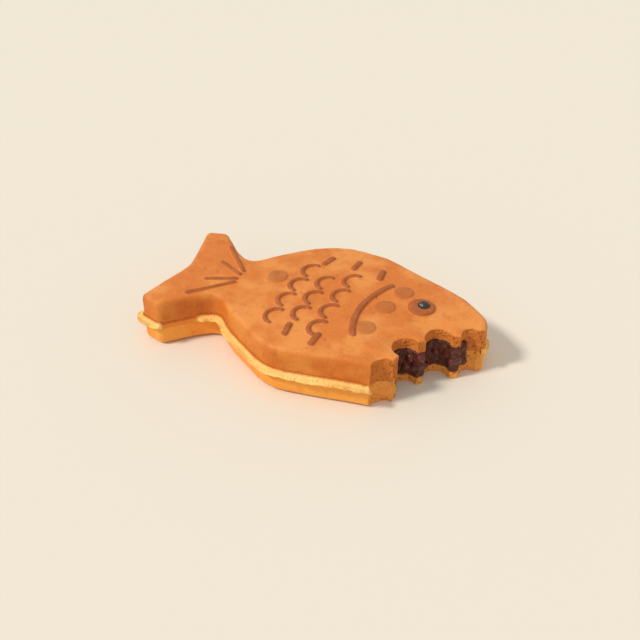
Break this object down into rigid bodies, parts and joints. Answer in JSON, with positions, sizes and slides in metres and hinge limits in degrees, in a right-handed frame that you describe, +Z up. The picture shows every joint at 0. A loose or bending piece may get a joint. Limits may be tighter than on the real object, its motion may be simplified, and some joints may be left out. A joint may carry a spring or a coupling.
{
  "type": "taiyaki",
  "caption": "Taiyaki, a fish-shaped cake filled with red bean paste, with moulded scales, a thin seam flash and a bite out of its mouth",
  "frame": {"origin": "middle of the box round the cake, on the surface it lies on", "axes": "+X from the tail to the head, +Y to the back of the fish, +Z up through the moulded face"},
  "size_m": [0.1612, 0.0942, 0.0279],
  "materials": {
    "crust": "golden-brown baked batter, satin, browner on the raised lines",
    "pale_crust": "lighter golden baked batter, satin",
    "crisp_flash": "thin crisp pale-gold batter edge",
    "bean_paste": "moist dark red-brown sweet bean paste",
    "eye_bead": "dark glossy bean"
  },
  "bodies": {
    "root": {"upper_batter": "crust", "lower_batter": "pale_crust", "seam_flash": "crisp_flash", "bean_paste": "bean_paste", "eye_bead": "eye_bead"}
  },
  "joints": []
}
